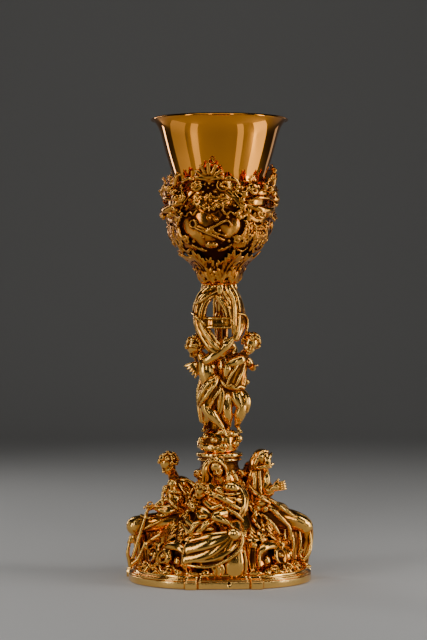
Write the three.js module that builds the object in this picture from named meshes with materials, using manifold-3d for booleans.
// A silver-gilt altar chalice in the late Baroque manner: a plain drinking cup in a cast calyx, winged children
// round the stem, and three seated women, Charity, Hope and Faith, on a lobed foot. Millimetres, +Z up.
// The axis of the cup is the Z axis, the underside of the foot is at Z = 0 and the front looks along -Y.
import * as THREE from "three";
import Module from "manifold-3d";
import { mergeVertices } from "three/addons/utils/BufferGeometryUtils.js";

const wasm = await Module();
wasm.setup();

// Gap between castings that bear on each other
const bearingGap = 0.3;

// Plinth of the foot
const plinthFront = 60;
const plinthFrontHalfWidth = 18.5;
const pilasterWidth = 8;
const pilasterProud = 1.6;
const lobeReach = 67.5;
const fasciaHeight = 5.4;
const beadHeight = 1.2;
const beadInset = 1.1;
const treadHeight = 2.4;
const treadInset = 3;
const footTurn = 3;
const sectors = 3;

// Domed body of the foot and its neck
const domeReach = 49;
const domeHeight = 66;
const neckRadius = 15;
const domeSwell = 1.15;
const bracketWidth = 6;
const bracketHeight = 24;
const bracketReach = 57;
const bracketAngle = 23;
const voluteRadius = 9;
const voluteBand = 3.4;
const voluteWidth = 8;
const voluteHeight = 18;
const voluteAngles = [45, 75];
const footShellWidth = 26;
const footShellHeight = 13;

// Moulded collar between foot and rock
const collarHeight = 15;
const collarTopRadius = 16.6;
const collarWaistRadius = 13.4;

// Rock and the children round the stem
const rockHeight = 17;
const rockRadius = 16;
const childHeight = 68;
const trunkRadius = 5.5;
const rodRadius = 2;
const garlandReach = 19;
const garlandThickness = 3.1;
const garlandHeight = 50.8;
const crownHeight = 7;
const crownWall = 1.4;
const stemTopRadius = 11.6;
const stemTopThickness = 3;

// Calyx
const calyxHeight = 71;
const calyxFootRadius = 12;
const calyxBellyRadius = 36.4;
const calyxTurn = -9;
const frameThickness = 1.7;
const bossReach = 6;
const bossHeight = 13;
const crestWidth = 19;
const crestHeight = 13;

// Drinking cup
const cupHeight = 95;
const cupWall = 1.2;
const lipRadius = 49.2;
const throatRadius = 32.6;
const cupBellyRadius = 31.6;
const cupFit = 0.3;
const cupStandsProud = 46;

// Heights of the seated women, from sole to crown as each sits
const charityHeight = 77;
const hopeHeight = 81;
const faithHeight = 80;
const anchorThickness = 1.5;

// Heights at which the castings start
const plinthTop = fasciaHeight + beadHeight + treadHeight;
const domeTop = plinthTop + domeHeight;
const collarBase = domeTop + bearingGap;
const rockBase = collarBase + collarHeight + bearingGap;
const childBase = rockBase + rockHeight;
const childCrown = childBase + childHeight;
const garlandBase = childBase + childHeight * 0.8;
const stemTop = garlandBase + garlandHeight;
const calyxBase = stemTop + bearingGap;
const calyxTop = calyxBase + calyxHeight;
const cupBase = calyxTop + cupStandsProud - cupHeight;
const lipHeight = cupBase + cupHeight;

const turnSegments = 28;

const at = (x, y, z) => new THREE.Vector3(x, y, z);

// A point by its angle from the front, towards the viewer's right, its reach from the axis and its height
function polar(degrees, reach, height) {
  const angle = THREE.MathUtils.degToRad(degrees);
  return at(reach * Math.sin(angle), -reach * Math.cos(angle), height);
}

// A closed geometry as a solid
function solid(geometry) {
  const bare = geometry.clone();
  bare.deleteAttribute("normal");
  bare.deleteAttribute("uv");
  const merged = mergeVertices(bare, 1e-4);
  const faces = [];
  for (let i = 0; i < merged.index.count; i += 3) {
    const [a, b, c] = [0, 1, 2].map((k) => merged.index.getX(i + k));
    if (a !== b && b !== c && c !== a) faces.push(a, b, c);
  }
  return new wasm.Manifold(
    new wasm.Mesh({
      numProp: 3,
      vertProperties: merged.attributes.position.array,
      triVerts: new Uint32Array(faces),
    }),
  );
}

const joined = (solids) => solids.reduce((whole, next) => whole.add(next));

// A body with the sealed hollows between its joined parts filled
const filled = (body) => joined(body.decompose().filter((shell) => shell.volume() > 0));

// A profile of [radius, height] points turned about the axis
function turned(profile, segments = turnSegments) {
  const points = profile.map(([radius, height]) => new THREE.Vector2(Math.max(radius, 0), height));
  return solid(new THREE.LatheGeometry(points, segments).rotateX(Math.PI / 2));
}

// A limb through several joints, each a point and its radius, tapered between them and pointed past both ends
function jointed(joints, sides = 5) {
  const centres = joints.map(([point]) => point);
  const radii = joints.map(([, radius]) => radius);
  const along = centres.map((_, i) =>
    centres[Math.min(i + 1, centres.length - 1)].clone().sub(centres[Math.max(i - 1, 0)]).normalize(),
  );
  const frames = [new THREE.Quaternion().setFromUnitVectors(at(0, 1, 0), along[0])];
  for (let i = 1; i < along.length; i++) {
    frames.push(new THREE.Quaternion().setFromUnitVectors(along[i - 1], along[i]).multiply(frames[i - 1]));
  }
  const rows = [
    { centre: centres[0].clone().addScaledVector(along[0], -radii[0] * 0.8), radius: 0, frame: frames[0] },
    ...centres.map((centre, i) => ({ centre, radius: radii[i], frame: frames[i] })),
  ];
  const tip = centres.at(-1).clone().addScaledVector(along.at(-1), radii.at(-1) * 0.8);
  rows.push({ centre: tip, radius: 0, frame: frames.at(-1) });
  const geometry = new THREE.LatheGeometry(rows.map(({ radius }, i) => new THREE.Vector2(radius, i)), sides);
  const position = geometry.attributes.position;
  const corner = new THREE.Vector3();
  for (let i = 0; i < position.count; i++) {
    const row = rows[Math.round(position.getY(i))];
    corner.set(position.getX(i), 0, position.getZ(i)).applyQuaternion(row.frame).add(row.centre);
    position.setXYZ(i, corner.x, corner.y, corner.z);
  }
  return solid(geometry);
}

const limb = (from, to, fromRadius, toRadius, sides) => jointed([[from, fromRadius], [to, toRadius]], sides);

// A ball or an egg, tilted by angles in degrees
function egg(centre, radii, tilt = [0, 0, 0], sides = 6, rings = 5) {
  const [x, y, z] = tilt.map(THREE.MathUtils.degToRad);
  const geometry = new THREE.SphereGeometry(1, sides, rings).rotateX(Math.PI / 2).scale(...radii);
  geometry.applyMatrix4(new THREE.Matrix4().makeRotationFromEuler(new THREE.Euler(x, y, z)));
  return solid(geometry.translate(centre.x, centre.y, centre.z));
}

// A bar of a regular section along a curve through the points
function bar(points, radius, steps, sides = 5) {
  const section = new THREE.Shape();
  for (let i = 0; i < sides; i++) {
    const angle = (i / sides) * 2 * Math.PI;
    const corner = [radius * Math.cos(angle), radius * Math.sin(angle)];
    if (i) section.lineTo(...corner);
    else section.moveTo(...corner);
  }
  const extrudePath = new THREE.CatmullRomCurve3(points);
  return solid(new THREE.ExtrudeGeometry(section, { steps, extrudePath }));
}

// An outline of [across, up] points, standing upright on a radius of the object and facing out
function uprightSlab(outline, thickness, degrees, reach, height) {
  const shape = new THREE.Shape(outline.map(([across, up]) => new THREE.Vector2(across, up)));
  const geometry = new THREE.ExtrudeGeometry(shape, { depth: thickness, bevelEnabled: false });
  geometry.rotateX(Math.PI / 2).translate(0, -reach + thickness / 2, height);
  return solid(geometry.rotateZ(THREE.MathUtils.degToRad(degrees)));
}

// The outline of a scroll that curls in on itself, as [across, up] points; hand is 1 or -1
function scrollOutline(radius, band, hand) {
  const steps = 5;
  const sweep = 1.5 * Math.PI;
  const point = (share, reach) => {
    const angle = Math.PI / 2 - share * sweep;
    return [hand * reach * Math.cos(angle), reach * Math.sin(angle)];
  };
  const outer = Array.from({ length: steps + 1 }, (_, i) => point(i / steps, radius * (1 - 0.3 * (i / steps))));
  const inner = outer.map((_, i) => point(i / steps, radius * (1 - 0.3 * (i / steps)) - band)).reverse();
  const outline = [...outer, ...inner];
  return hand > 0 ? outline.reverse() : outline;
}

// A shell as a scalloped fan, as [across, up] points
function fanOutline(width, height, lobes) {
  const steps = lobes * 2;
  const fan = Array.from({ length: steps + 1 }, (_, i) => {
    const angle = (i / steps) * Math.PI;
    const reach = i % 2 ? 1 : 0.86;
    return [(width / 2) * reach * Math.cos(angle), height * reach * Math.sin(angle)];
  });
  return fan;
}

// The foot: plinth, dome, brackets, volutes and shells

// How far the plinth reaches in a direction, in degrees from the middle of the nearest straight front
function plinthReach(fromMiddle, inset) {
  const angle = Math.abs(fromMiddle);
  const frontEnd = THREE.MathUtils.radToDeg(Math.atan2(plinthFrontHalfWidth, plinthFront));
  const pilasterEnd = THREE.MathUtils.radToDeg(Math.atan2(plinthFrontHalfWidth + pilasterWidth, plinthFront));
  const face = (distance) => distance / Math.cos(THREE.MathUtils.degToRad(angle));
  if (angle <= frontEnd) return face(plinthFront) - inset;
  if (angle <= pilasterEnd) return face(plinthFront + pilasterProud) - inset;
  const across = (angle - pilasterEnd) / (180 / sectors - pilasterEnd);
  const start = plinthFront / Math.cos(THREE.MathUtils.degToRad(pilasterEnd)) - pilasterProud;
  return start + (lobeReach - start) * Math.sin((across * Math.PI) / 2) - inset;
}

function plinthCourse(inset, base, height) {
  const sliver = 0.25;
  const frontEnd = THREE.MathUtils.radToDeg(Math.atan2(plinthFrontHalfWidth, plinthFront));
  const pilasterEnd = THREE.MathUtils.radToDeg(Math.atan2(plinthFrontHalfWidth + pilasterWidth, plinthFront));
  const half = [frontEnd - sliver, frontEnd + sliver, pilasterEnd - sliver, pilasterEnd + sliver];
  const lobeSteps = 2;
  const sectorHalf = 180 / sectors;
  for (let i = 1; i <= lobeSteps; i++) {
    half.push(pilasterEnd + sliver + ((sectorHalf - pilasterEnd - sliver) * i) / lobeSteps);
  }
  const angles = [...half.slice(0, -1).map((a) => -a).reverse(), ...half];
  const shape = new THREE.Shape();
  for (let s = 0; s < sectors; s++) {
    angles.forEach((angle, i) => {
      const corner = polar(angle + footTurn + (s * 360) / sectors, plinthReach(angle, inset), 0);
      if (s || i) shape.lineTo(corner.x, corner.y);
      else shape.moveTo(corner.x, corner.y);
    });
  }
  const geometry = new THREE.ExtrudeGeometry(shape, { depth: height, bevelEnabled: false });
  return solid(geometry.translate(0, 0, base));
}

function domeReachAt(height) {
  const share = THREE.MathUtils.clamp((height - plinthTop) / domeHeight, 0, 1);
  return neckRadius + ((domeReach - neckRadius) * (1 + Math.cos(Math.PI * share ** domeSwell))) / 2;
}

// The dome, grown outward by some distance
function dome(growth, top = domeTop) {
  const rings = 6;
  const base = plinthTop - treadHeight / 2;
  const profile = [[0, base]];
  for (let i = 0; i <= rings; i++) {
    const height = plinthTop + (domeHeight * i) / rings;
    profile.push([domeReachAt(height) + growth, Math.min(height + growth, top)]);
  }
  profile.push([0, profile.at(-1)[1]]);
  return turned(profile, 20);
}

// A scrolled console that stands on the plinth beside each straight front
function bracket(degrees, growth) {
  const top = bracketHeight + growth;
  const front = bracketReach + growth;
  const width = bracketWidth + 2 * growth;
  const inner = domeReachAt(plinthTop + bracketHeight) - bracketWidth / 2;
  const side = [
    [inner, plinthTop - treadHeight / 2],
    [front, plinthTop - treadHeight / 2],
    [front - 0.5, plinthTop + top * 0.14],
    [front - 5.5, plinthTop + top * 0.32],
    [front - 6, plinthTop + top * 0.66],
    [front - 3, plinthTop + top * 0.82],
    [front - 4.5, plinthTop + top],
    [inner, plinthTop + top],
  ];
  const shape = new THREE.Shape(side.map(([reach, height]) => new THREE.Vector2(reach, height)));
  const geometry = new THREE.ExtrudeGeometry(shape, { depth: width, bevelEnabled: false });
  geometry.rotateX(Math.PI / 2).translate(0, width / 2, 0);
  return solid(geometry.rotateZ(THREE.MathUtils.degToRad(degrees - 90)));
}

// Brackets, volutes and shells of the foot, grown outward by some distance
function footOrnament(growth) {
  const pieces = [];
  const depth = voluteWidth + 2 * growth;
  for (let s = 0; s < sectors; s++) {
    const front = footTurn + (s * 360) / sectors;
    for (const hand of [-1, 1]) pieces.push(bracket(front + hand * bracketAngle, growth));
    voluteAngles.forEach((angle, i) => {
      const reach = domeReachAt(plinthTop + voluteHeight) + voluteWidth / 4;
      const outline = scrollOutline(voluteRadius + growth, voluteBand + 2 * growth, i ? 1 : -1);
      pieces.push(uprightSlab(outline, depth, front + angle, reach, voluteHeight + plinthTop / 2));
    });
    const fanBase = plinthTop + voluteHeight - growth;
    const fanReach = domeReachAt(fanBase + footShellHeight / 3);
    const fan = fanOutline(footShellWidth + 2 * growth, footShellHeight + 2 * growth, 4);
    pieces.push(uprightSlab(fan, depth, front + 180 / sectors, fanReach, fanBase));
  }
  return joined(pieces);
}

const makeFoot = () =>
  joined([
    plinthCourse(0, 0, fasciaHeight),
    plinthCourse(beadInset, fasciaHeight * 0.9, beadHeight + fasciaHeight * 0.1),
    plinthCourse(treadInset, fasciaHeight, beadHeight + treadHeight),
    dome(0),
    footOrnament(0),
  ]);

// The moulded collar
function makeCollar() {
  const h = (share) => collarBase + collarHeight * share;
  const flare = neckRadius + 0.8;
  return turned(
    [
      [0, h(0)],
      [flare, h(0)],
      [flare, h(0.12)],
      [collarWaistRadius, h(0.34)],
      [collarWaistRadius, h(0.58)],
      [collarTopRadius - 1, h(0.68)],
      [collarTopRadius - 1.4, h(0.8)],
      [collarTopRadius, h(0.86)],
      [collarTopRadius - 0.4, h(1)],
      [0, h(1)],
    ],
    24,
  );
}

// The seated women. A pose is drawn in millimetres above the plinth for a figure of drawnHeight, in the frame of
// the whole chalice, and is scaled about the point on the dome where the figure sits.
function poser(figureHeight, drawnHeight, seat) {
  const scale = figureHeight / drawnHeight;
  const place = (x, y, z) =>
    at(seat.x + (x - seat.x) * scale, seat.y + (y - seat.y) * scale, plinthTop + z * scale);
  return { place, scale };
}

// What is left of a figure once it is set down on the foot
function seated(parts) {
  const floorHeight = plinthTop + bearingGap;
  const floor = new THREE.CylinderGeometry(90, 90, floorHeight, 12).rotateX(Math.PI / 2);
  floor.translate(0, 0, floorHeight / 2);
  const whole = joined(parts).subtract(joined([dome(bearingGap), solid(floor), footOrnament(bearingGap)]));
  return whole.decompose().reduce((most, next) => (next.volume() > most.volume() ? next : most));
}

function makeCharity() {
  const { place: p, scale: k } = poser(charityHeight, 77, at(0, -28, 0));
  const torso = [
    egg(p(4, -29, 41), [11 * k, 8.5 * k, 8 * k]),
    egg(p(5, -28, 56), [9 * k, 6.5 * k, 9 * k], [0, 8, 0]),
    limb(p(-6, -28, 61), p(14, -28, 60), 4.6 * k, 4.8 * k),
    limb(p(2, -27, 62), p(0, -29, 69), 3.2 * k, 3 * k),
    egg(p(-1, -30, 70.5), [6.4 * k, 6.6 * k, 7.6 * k], [0, 18, 0]),
    limb(p(-5, -27, 70), p(-8, -27, 58), 4 * k, 4.6 * k),
    limb(p(5, -27, 68), p(9, -27, 60), 3.2 * k, 4 * k),
  ];
  const arms = [
    jointed([[p(14, -28, 60), 5 * k], [p(17.5, -37, 46), 5.6 * k], [p(5, -48, 38), 2.6 * k]]),
    jointed([[p(-6, -30, 58), 4.4 * k], [p(-7, -39, 52), 3.6 * k], [p(8, -43, 47.5), 2.4 * k]]),
  ];
  const legs = [
    jointed([[p(9, -34, 34), 8.6 * k], [p(9, -53, 27), 7.4 * k], [p(12, -55, 6), 6.6 * k]]),
    jointed([[p(-5, -34, 32), 8 * k], [p(-9, -51, 22), 6.6 * k], [p(-11, -54, 6), 3.4 * k]]),
    limb(p(-11, -54, 3.4), p(-12.5, -59, 1.8), 2.6 * k, 1.9 * k),
    egg(p(12, -54, 9), [9 * k, 6 * k, 9.4 * k]),
  ];
  const skirt = [
    jointed([[p(7, -53, 26), 6.4 * k], [p(-10, -55, 18), 6 * k], [p(-22, -52, 10), 3.6 * k]]),
    jointed([[p(5, -55, 19), 4.4 * k], [p(-6, -57, 10.5), 4.2 * k], [p(-18, -55, 6.5), 2.6 * k]]),
    jointed([[p(-5, -45, 28), 5 * k], [p(-19, -46, 19), 4.6 * k], [p(-25, -49, 9), 2.4 * k]]),
  ];
  const child = [
    egg(p(-13, -38, 53), [5 * k, 5.2 * k, 5.8 * k]),
    jointed([[p(-9, -37, 47), 4.6 * k], [p(1, -43, 37), 5.2 * k], [p(9, -48, 30), 3.4 * k]]),
    jointed([[p(-7, -42, 42), 2.8 * k], [p(7, -49, 33), 2 * k]]),
    egg(p(-17, -40, 41), [4.4 * k, 4.2 * k, 4.4 * k]),
    limb(p(-14, -40, 37), p(-6, -45, 30), 4 * k, 4 * k),
  ];
  return seated([...torso, ...arms, ...legs, ...skirt, ...child]);
}

function makeHope() {
  const { place: p, scale: k } = poser(hopeHeight, 81, at(-27, 8, 0));
  const torso = [
    egg(p(-27, 6, 38), [10 * k, 9 * k, 9 * k]),
    egg(p(-28, 4, 52), [7.6 * k, 8.6 * k, 9.6 * k], [0, -12, 0]),
    limb(p(-34, -5, 58), p(-25, 10, 60), 4.6 * k, 4.6 * k),
    limb(p(-31, 2, 62), p(-35, 0, 68), 3 * k, 2.8 * k),
    egg(p(-37.5, -1, 73.5), [6.6 * k, 6.6 * k, 7.2 * k], [0, -24, 0]),
    jointed([[p(-38, -1, 79), 2.4 * k], [p(-31.5, 1, 75), 3 * k], [p(-32, 1, 68), 2.2 * k]]),
    jointed([[p(-22, 4, 62), 3.6 * k], [p(-18, 4, 52), 4.6 * k], [p(-20, 5, 42), 5 * k]]),
  ];
  const arms = [
    jointed([[p(-34, -6, 57), 4.6 * k], [p(-34, -12, 44), 3.8 * k], [p(-49, -13, 43.5), 2.2 * k]]),
    egg(p(-50.5, -13, 44.5), [3.2 * k, 2.4 * k, 2.4 * k]),
    jointed([[p(-27, 11, 58), 4.4 * k], [p(-38, 16, 46), 3.6 * k], [p(-50, 12, 38), 2.4 * k]]),
  ];
  const legs = [
    jointed([[p(-29, -3, 33), 8.6 * k], [p(-61, -4, 29), 7.8 * k], [p(-57, -5, 6), 4.6 * k]]),
    jointed([[p(-29, 12, 33), 8.6 * k], [p(-56, 14, 29), 7.6 * k], [p(-55, 13, 6), 4.6 * k]]),
    limb(p(-57, -6, 3), p(-61, -8, 2), 2.6 * k, 1.9 * k),
  ];
  const skirt = [
    jointed([[p(-56, -4, 26), 6.6 * k], [p(-56, 4, 20), 6 * k], [p(-55, 6, 6), 5 * k]]),
    jointed([[p(-33, -9, 32), 6 * k], [p(-48, -12, 24), 5 * k], [p(-56, -10, 14), 3 * k]]),
    jointed([[p(-29, 18, 32), 5.6 * k], [p(-46, 22, 20), 4.8 * k], [p(-54, 19, 6), 4 * k]]),
  ];
  const thick = anchorThickness;
  const shankTop = p(-51, -14.5, 42);
  const crown = p(-60, -18, 1.6);
  const anchor = [
    bar([shankTop, shankTop.clone().lerp(crown, 0.5), crown], thick, 2),
    bar([crown, p(-62, -18, 12), p(-60.5, -18, 24)], thick, 3),
    bar([crown, p(-54, -19.5, 9), p(-50.5, -20, 18)], thick, 3),
    limb(p(-53, -16, 33), p(-56, -14, 41), thick, thick),
    limb(p(-58.5, -18, 23), p(-62, -18, 20), thick * 1.2, thick),
    limb(p(-52.5, -20, 18), p(-49, -20, 15), thick * 1.2, thick),
  ];
  return seated([...torso, ...arms, ...legs, ...skirt, ...anchor]);
}

function makeFaith() {
  const { place: p, scale: k } = poser(faithHeight, 80, at(27, 8, 0));
  const torso = [
    egg(p(27, 6, 38), [10 * k, 9 * k, 9 * k]),
    egg(p(27, 4, 53), [8 * k, 8.4 * k, 9.6 * k], [0, 6, 0]),
    limb(p(34, -5, 58), p(23, 9, 59), 4.6 * k, 4.6 * k),
    limb(p(28, 2, 62), p(29, 1, 69), 3.4 * k, 3.2 * k),
    egg(p(30.5, -1, 73), [7.4 * k, 7 * k, 7.6 * k], [0, 20, 0]),
    jointed([[p(30, 2, 75), 6 * k], [p(24, 4, 66), 5 * k], [p(20, 5, 56), 4.6 * k]]),
    jointed([[p(29, -6, 66), 3 * k], [p(26.5, -8, 55), 3 * k], [p(25, -9, 44), 3.4 * k]]),
  ];
  const arms = [
    jointed([[p(34, -5, 58), 4.8 * k], [p(38, -9, 53.5), 3.8 * k], [p(44.5, -10, 57), 2 * k]]),
    egg(p(46.5, -10, 58), [2.6 * k, 2 * k, 3.2 * k]),
    jointed([[p(24, 10, 57), 4.4 * k], [p(34, 15, 46), 3.6 * k], [p(42, 8, 43), 2.4 * k]]),
  ];
  const legs = [
    jointed([[p(29, -3, 33), 8.8 * k], [p(60, -4, 28.5), 7.8 * k], [p(57, -5, 6), 4.6 * k]]),
    jointed([[p(29, 12, 33), 8.6 * k], [p(56, 14, 29), 7.6 * k], [p(55, 13, 6), 4.6 * k]]),
    limb(p(57, -6, 3), p(60, -9, 2), 2.6 * k, 1.9 * k),
  ];
  const skirt = [
    jointed([[p(32, -7, 42), 5.6 * k], [p(45, -8, 38), 5.4 * k], [p(55, -8, 30), 5 * k]]),
    jointed([[p(63, -4, 27), 4.8 * k], [p(64, -4, 15), 3.6 * k], [p(60, -6, 5), 3.6 * k]]),
    jointed([[p(56, 4, 22), 6 * k], [p(55, 5, 6), 5 * k]]),
    jointed([[p(29, 18, 32), 5.6 * k], [p(46, 22, 20), 4.8 * k], [p(54, 19, 6), 4 * k]]),
  ];
  return seated([...torso, ...arms, ...legs, ...skirt]);
}

// The rock, the three children on it, the cloth garlands that they hold up and the crown inside those

function makeRock() {
  const geometry = new THREE.SphereGeometry(1, 10, 6).rotateX(Math.PI / 2);
  const position = geometry.attributes.position;
  const point = new THREE.Vector3();
  for (let i = 0; i < position.count; i++) {
    point.fromBufferAttribute(position, i);
    const turn = Math.atan2(point.y, point.x);
    const rough = Math.hypot(point.x, point.y) > 1e-6 ? 1 + 0.05 * Math.sin(3 * turn + 4 * point.z) : 1;
    point.multiplyScalar(rough);
    position.setXYZ(i, point.x, point.y, point.z);
  }
  geometry.scale(rockRadius, rockRadius, rockHeight * 0.62).translate(0, 0, rockBase + rockHeight * 0.45);
  return solid(geometry);
}

// A child drawn in millimetres above the rock for a height of 68
function child(pose) {
  const k = childHeight / 68;
  const p = ([x, y, z]) => at(x * k, y * k, childBase + z * k);
  return joined([
    egg(p(pose.head), [5.6 * k, 5.8 * k, 6.4 * k]),
    limb(p(pose.neck), p(pose.head), 2.4 * k, 2.6 * k),
    jointed([[p(pose.neck), 3.6 * k], [p(pose.chest), 6.4 * k], [p(pose.hips), 6.2 * k]]),
    ...pose.arms.map((joints) => jointed([[p(joints[0]), 3.4 * k], [p(joints[1]), 2.8 * k], [p(joints[2]), 2 * k]])),
    ...pose.legs.map((joints) => jointed([[p(joints[0]), 5 * k], [p(joints[1]), 3.8 * k], [p(joints[2]), 2.2 * k]])),
    ...pose.more.map(([from, to, start, end]) => limb(p(from), p(to), start * k, end * k)),
  ]);
}

const leftChild = {
  head: [-18.5, -4, 57], neck: [-13.5, -3, 51], chest: [-9, -4.5, 44], hips: [-6.5, -4, 29],
  arms: [[[-8, -7, 48], [2, -11, 57], [12.5, -10, 71]], [[-13, 0, 48], [-18, 3, 58], [-17, 3, 68]]],
  legs: [[[-8, -5, 27], [-10.5, -9, 14], [1.5, -12, 1]], [[-5, 1, 27], [-8, 3, 13], [-9, 1, 0]]],
  more: [[[1.5, -12.5, -1], [2.5, -14.5, -6], 2.2, 1.6], [[-4, -7, 33], [-11, -6, 19], 4.4, 3.2],
    [[-12, 0, 42], [-24, 1, 44], 3.6, 1.3]],
};
const rightChild = {
  head: [22, -6, 61], neck: [17.5, -5, 54], chest: [13, -5.5, 46], hips: [10, -4.5, 30],
  arms: [[[13, -9, 50], [4.5, -13.5, 43], [9, -13, 34]], [[18, -3, 50], [22, 3, 58], [17, 3, 68]]],
  legs: [[[12, -5, 28], [17, -8.5, 15], [12, -5, 1]], [[8, 0, 28], [7, -3, 13], [6, -3, 0]]],
  more: [[[12, -6, 0], [13, -9.5, -2], 2.2, 1.6], [[8, -9, 31], [14, -7, 27], 4.4, 3.2],
    [[17, -2, 44], [27, -2, 41], 3.6, 1.3]],
};
// Stands behind, seen only over the shoulders of the other two
const rearChild = {
  head: [2, 16, 58], neck: [1.5, 13, 51], chest: [1, 9, 44], hips: [0.5, 8, 29],
  arms: [[[6, 10, 49], [10, 14, 56], [3, 18, 64]]],
  legs: [[[3, 8, 27], [5, 11, 13], [4, 9, 0]]],
  more: [[[-3, 8, 28], [-6, 9, 2], 4.6, 2.4]],
};

function garland(points) {
  const path = points.map(([degrees, reach, height]) =>
    polar(degrees, reach * garlandReach, garlandBase + height * garlandHeight),
  );
  const curve = new THREE.CatmullRomCurve3(path);
  return jointed(curve.getSpacedPoints(6).map((point) => [point, garlandThickness]));
}

function makeStem() {
  // The crown is let into the inner side of the garlands
  const crownRadius = garlandReach - garlandThickness * 0.5;
  const ringBase = garlandBase + garlandHeight * 0.36;
  const ring = turned(
    [
      [crownRadius - crownWall, ringBase],
      [crownRadius, ringBase],
      [crownRadius, ringBase + crownHeight],
      [crownRadius - crownWall, ringBase + crownHeight],
      [crownRadius - crownWall, ringBase],
    ],
    14,
  );
  const capBase = stemTop - stemTopThickness;
  const top = turned(
    [
      [0, capBase],
      [stemTopRadius - 2, capBase],
      [stemTopRadius, stemTop - 1],
      [stemTopRadius, stemTop],
      [0, stemTop],
    ],
    14,
  );
  const whole = joined([
    makeRock(),
    limb(at(0, 0, childBase - 6), at(0, 0, childBase + childHeight * 0.72), trunkRadius * 1.3, trunkRadius),
    limb(at(0, 0, childBase), at(0, 0, stemTop - 2), rodRadius, rodRadius),
    egg(at(0, 0, garlandBase + garlandHeight * 0.62), [rodRadius * 2, rodRadius * 2, rodRadius * 2.6]),
    child(leftChild),
    child(rightChild),
    child(rearChild),
    garland([[-30, 0.5, -0.1], [-62, 0.95, 0.18], [-72, 1, 0.42], [-64, 0.94, 0.66], [-30, 0.62, 0.88], [30, 0.4, 1]]),
    garland([[38, 0.6, -0.06], [58, 0.95, 0.2], [70, 0.98, 0.42], [60, 0.9, 0.66], [28, 0.66, 0.86], [-30, 0.4, 1]]),
    garland([[180, 0.6, -0.1], [172, 0.95, 0.2], [180, 1, 0.44], [188, 0.86, 0.68], [180, 0.5, 0.97]]),
    ring,
    top,
  ]);
  const span = new THREE.CylinderGeometry(90, 90, stemTop - rockBase, 12).rotateX(Math.PI / 2);
  return whole.intersect(solid(span.translate(0, 0, (stemTop + rockBase) / 2)));
}

// The cup and the calyx that holds it

// Outer profile of the cup, from its underside to the lip, as [radius, height] points
function cupProfile() {
  const belly = [[0.4, 0.025], [0.76, 0.11], [0.96, 0.28]];
  const flare = [[0, 0.516], [0.34, 0.705], [0.6, 0.895], [0.78, 0.965], [1, 1]];
  return [
    ...belly.map(([share, up]) => [share * cupBellyRadius, cupBase + cupHeight * up]),
    ...flare.map(([share, up]) => [throatRadius + (lipRadius - throatRadius) * share, cupBase + cupHeight * up]),
  ];
}

// The same profile moved inward, or outward for a negative distance
function offset(profile, distance) {
  return profile.map(([radius, height], i) => {
    const before = profile[Math.max(i - 1, 0)];
    const after = profile[Math.min(i + 1, profile.length - 1)];
    const along = [after[0] - before[0], after[1] - before[1]];
    const length = Math.hypot(...along);
    return [radius - (distance * along[1]) / length, height + (distance * along[0]) / length];
  });
}

function makeCup() {
  const outer = cupProfile();
  const inner = offset(outer, cupWall).map(([radius, height]) => [radius, Math.min(height, lipHeight)]);
  const rim = inner.pop();
  return turned([[0, cupBase], ...outer, [rim[0], lipHeight], ...inner.reverse(), [0, cupBase + cupWall]]);
}

function calyxCurve() {
  const h = (share) => calyxBase + calyxHeight * share;
  return new THREE.SplineCurve([
    new THREE.Vector2(calyxFootRadius, h(0)),
    new THREE.Vector2(calyxBellyRadius * 0.5, h(0.12)),
    new THREE.Vector2(calyxBellyRadius * 0.82, h(0.29)),
    new THREE.Vector2(calyxBellyRadius * 0.985, h(0.48)),
    new THREE.Vector2(calyxBellyRadius, h(0.7)),
    new THREE.Vector2(calyxBellyRadius * 0.98, h(1)),
  ]);
}

// How far the calyx reaches from the axis at a height
function calyxReachAt(height) {
  const points = calyxCurve().getPoints(40);
  const next = points.findIndex((point) => point.y >= height);
  if (next < 1) return next ? points.at(-1).x : points[0].x;
  const [a, b] = [points[next - 1], points[next]];
  return a.x + ((b.x - a.x) * (height - a.y)) / (b.y - a.y);
}

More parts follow.
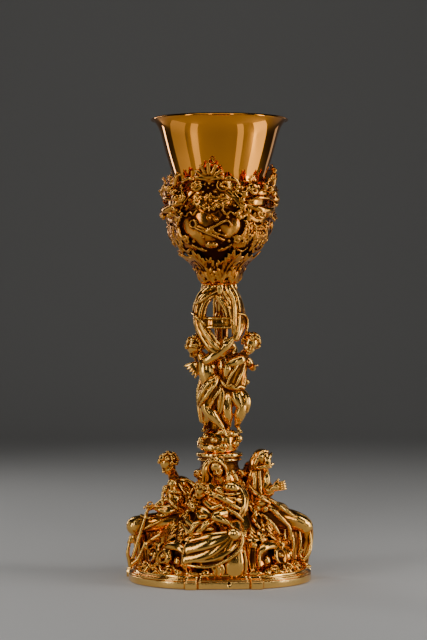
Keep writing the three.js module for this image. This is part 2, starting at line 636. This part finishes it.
function makeCalyx() {
  const h = (share) => calyxBase + calyxHeight * share;
  const surface = (degrees, share, proud) => polar(degrees, calyxReachAt(h(share)) + proud, h(share));
  const pieces = [turned([[0, calyxBase], ...calyxCurve().getPoints(5).map((p) => [p.x, p.y]), [0, calyxTop]], 18)];
  for (let s = 0; s < sectors; s++) {
    const middle = calyxTurn + (s * 360) / sectors;
    const boss = middle + 180 / sectors;
    for (const hand of [-1, 1]) {
      const side = (degrees) => middle + hand * degrees;
      const frame = [[11, 0.99, 1], [19, 0.88, 0.8], [29, 0.75, 0.8], [44, 0.63, 0.6]];
      pieces.push(jointed(frame.map(([a, up, proud]) => [surface(side(a), up, proud), frameThickness]), 5));
      const volute = scrollOutline(4.2, 2.1, -hand);
      pieces.push(uprightSlab(volute, 4.6, side(10), calyxReachAt(h(1)) + 0.6, h(1) - 1));
      pieces.push(limb(surface(side(38), 0.3, -1), surface(side(22), 0.13, 2), 3, 2.4));
    }
    const shell = fanOutline(crestWidth, crestHeight, 4);
    pieces.push(uprightSlab(shell, 3, middle, calyxReachAt(calyxTop) - 0.6, calyxTop - 1));
    const swell = calyxReachAt(h(0.8)) + bossReach / 2;
    pieces.push(egg(polar(boss, swell, h(0.82)), [12, bossReach, bossHeight], [0, 0, boss], 8, 6));
    pieces.push(limb(polar(boss - 15, swell + 2, h(0.97)), polar(boss + 12, swell + 2, h(1)), 3.4, 4.4));
    pieces.push(limb(surface(boss, 0.5, -1), surface(boss, 0.3, 1), 5.5, 3.4));
  }
  const bore = offset(cupProfile(), -cupFit).filter(([, height]) => height < calyxTop + crestHeight * 2);
  const well = turned([[0, cupBase - cupFit], ...bore, [0, bore.at(-1)[1]]]);
  return joined(pieces).subtract(well);
}

// A solid as a named mesh of one gilt finish
function casting(name, body, colour, roughness) {
  const { vertProperties, triVerts } = filled(body).getMesh();
  const geometry = new THREE.BufferGeometry();
  geometry.setAttribute("position", new THREE.BufferAttribute(vertProperties, 3));
  geometry.setIndex(new THREE.BufferAttribute(triVerts, 1));
  const material = new THREE.MeshStandardMaterial({ color: colour, metalness: 1, roughness });
  const mesh = new THREE.Mesh(geometry, material);
  mesh.name = name;
  return mesh;
}

const castGilt = 0xc98a2e;
const burnishedGilt = 0xdb9a35;

const chalice = new THREE.Group();
chalice.add(casting("cup", makeCup(), burnishedGilt, 0.08));
chalice.add(casting("calyx", makeCalyx(), castGilt, 0.28));
chalice.add(casting("stem_children", makeStem(), castGilt, 0.26));
chalice.add(casting("collar", makeCollar(), castGilt, 0.2));
chalice.add(casting("foot", makeFoot(), castGilt, 0.26));
chalice.add(casting("figure_charity", makeCharity(), castGilt, 0.25));
chalice.add(casting("figure_hope", makeHope(), castGilt, 0.25));
chalice.add(casting("figure_faith", makeFaith(), castGilt, 0.25));

export default chalice;
